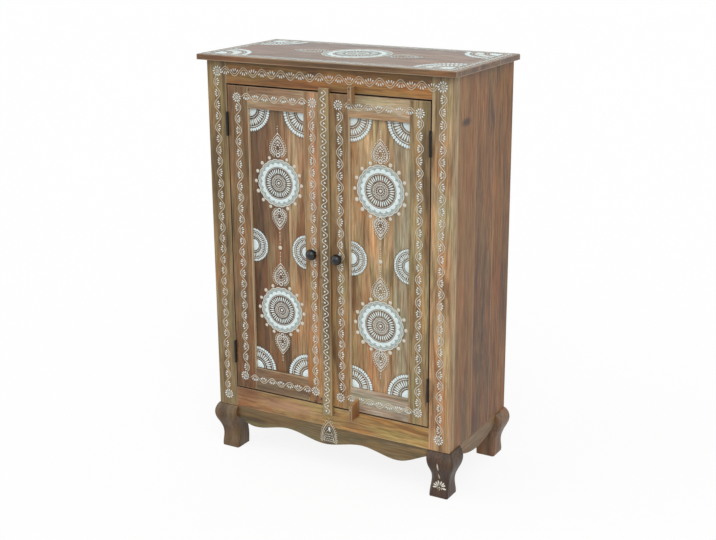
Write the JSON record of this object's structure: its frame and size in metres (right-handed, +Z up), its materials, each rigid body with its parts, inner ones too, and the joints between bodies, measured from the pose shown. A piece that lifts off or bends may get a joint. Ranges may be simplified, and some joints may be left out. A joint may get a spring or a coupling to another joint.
{
  "type": "two-door storage cabinet",
  "caption": "Upright wooden cabinet on curved legs with two hinged panelled doors, inner shelves, scalloped aprons and raised white painted ornament.",
  "frame": {"origin": "on the floor, under the middle of the box that holds the whole cabinet", "axes": "+Z up, the doors face -Y, +X is to the right of someone who faces the doors"},
  "size_m": [0.606, 0.3301, 0.9],
  "materials": {
    "top_wood": "waxed mango wood, satin",
    "side_wood": "waxed mango wood, satin",
    "frame_wood": "waxed mango wood, satin",
    "door_wood": "waxed mango wood, satin",
    "panel_wood": "waxed mango wood, satin",
    "leg_wood": "waxed mango wood, satin",
    "apron_wood": "waxed mango wood, satin",
    "inner_wood": "waxed mango wood, satin",
    "back_board": "waxed mango wood, satin",
    "black_iron": "blackened, satin",
    "black_lacquer": "turned wood in gloss black lacquer",
    "zinc_steel": "zinc plated",
    "catch_plastic": "matt",
    "relief_paint": "raised white paint, matt"
  },
  "bodies": {
    "carcass": {"top_front_board": "top_wood", "top_middle_board": "top_wood", "top_rear_board": "top_wood", "back_panel": "back_board", "bottom_board": "inner_wood", "lower_shelf": "inner_wood", "upper_shelf": "inner_wood", "shelf_cleats": "inner_wood", "top_battens": "inner_wood", "corner_blocks": "inner_wood", "glue_blocks": "inner_wood", "catch_rail": "inner_wood", "rear_rail": "inner_wood", "frame_left_stile": "frame_wood", "frame_right_stile": "frame_wood", "frame_bottom_rail": "frame_wood", "frame_top_rail": "frame_wood", "apron_front": "apron_wood", "apron_left": "apron_wood", "apron_right": "apron_wood", "leg_front_left": "leg_wood", "leg_front_right": "leg_wood", "leg_rear_left": "leg_wood", "leg_rear_right": "leg_wood", "frame_hinge_leaves": "black_iron", "hinge_pins": "black_iron", "frame_hinge_screws": "black_iron", "magnetic_catches": "catch_plastic", "carcass_screws": "zinc_steel", "side_left_front_board": "side_wood", "side_left_middle_board": "side_wood", "side_left_rear_board": "side_wood", "side_right_front_board": "side_wood", "side_right_middle_board": "side_wood", "side_right_rear_board": "side_wood"},
    "left_door": {"left_door_hinge_stile": "door_wood", "left_door_meeting_stile": "door_wood", "left_door_bottom_rail": "door_wood", "left_door_top_rail": "door_wood", "left_door_panel": "panel_wood", "left_door_knob": "black_lacquer", "left_door_knob_screw": "zinc_steel", "left_door_hinge_leaves": "black_iron", "left_door_screws": "black_iron", "left_door_strike_plate": "zinc_steel", "centre_strip": "frame_wood", "centre_strip_nails": "zinc_steel"},
    "right_door": {"right_door_hinge_stile": "door_wood", "right_door_meeting_stile": "door_wood", "right_door_bottom_rail": "door_wood", "right_door_top_rail": "door_wood", "right_door_panel": "panel_wood", "right_door_knob": "black_lacquer", "right_door_knob_screw": "zinc_steel", "right_door_hinge_leaves": "black_iron", "right_door_screws": "black_iron", "right_door_strike_plate": "zinc_steel", "upper_stop_block": "frame_wood", "lower_stop_block": "frame_wood", "stop_block_nails": "zinc_steel"}
  },
  "joints": [
    {"name": "left_door_hinge", "type": "hinge", "parent": "carcass", "child": "left_door", "pos_m": [-0.24085, -0.1351, 0.496], "axis": [0, 0, -1], "range_deg": [0, 170]},
    {"name": "right_door_hinge", "type": "hinge", "parent": "carcass", "child": "right_door", "pos_m": [0.24085, -0.1351, 0.496], "axis": [0, 0, 1], "range_deg": [0, 170]}
  ],
  "couplings": [
    {"joint": "right_door_hinge", "follows": "left_door_hinge", "ratio": 1}
  ]
}
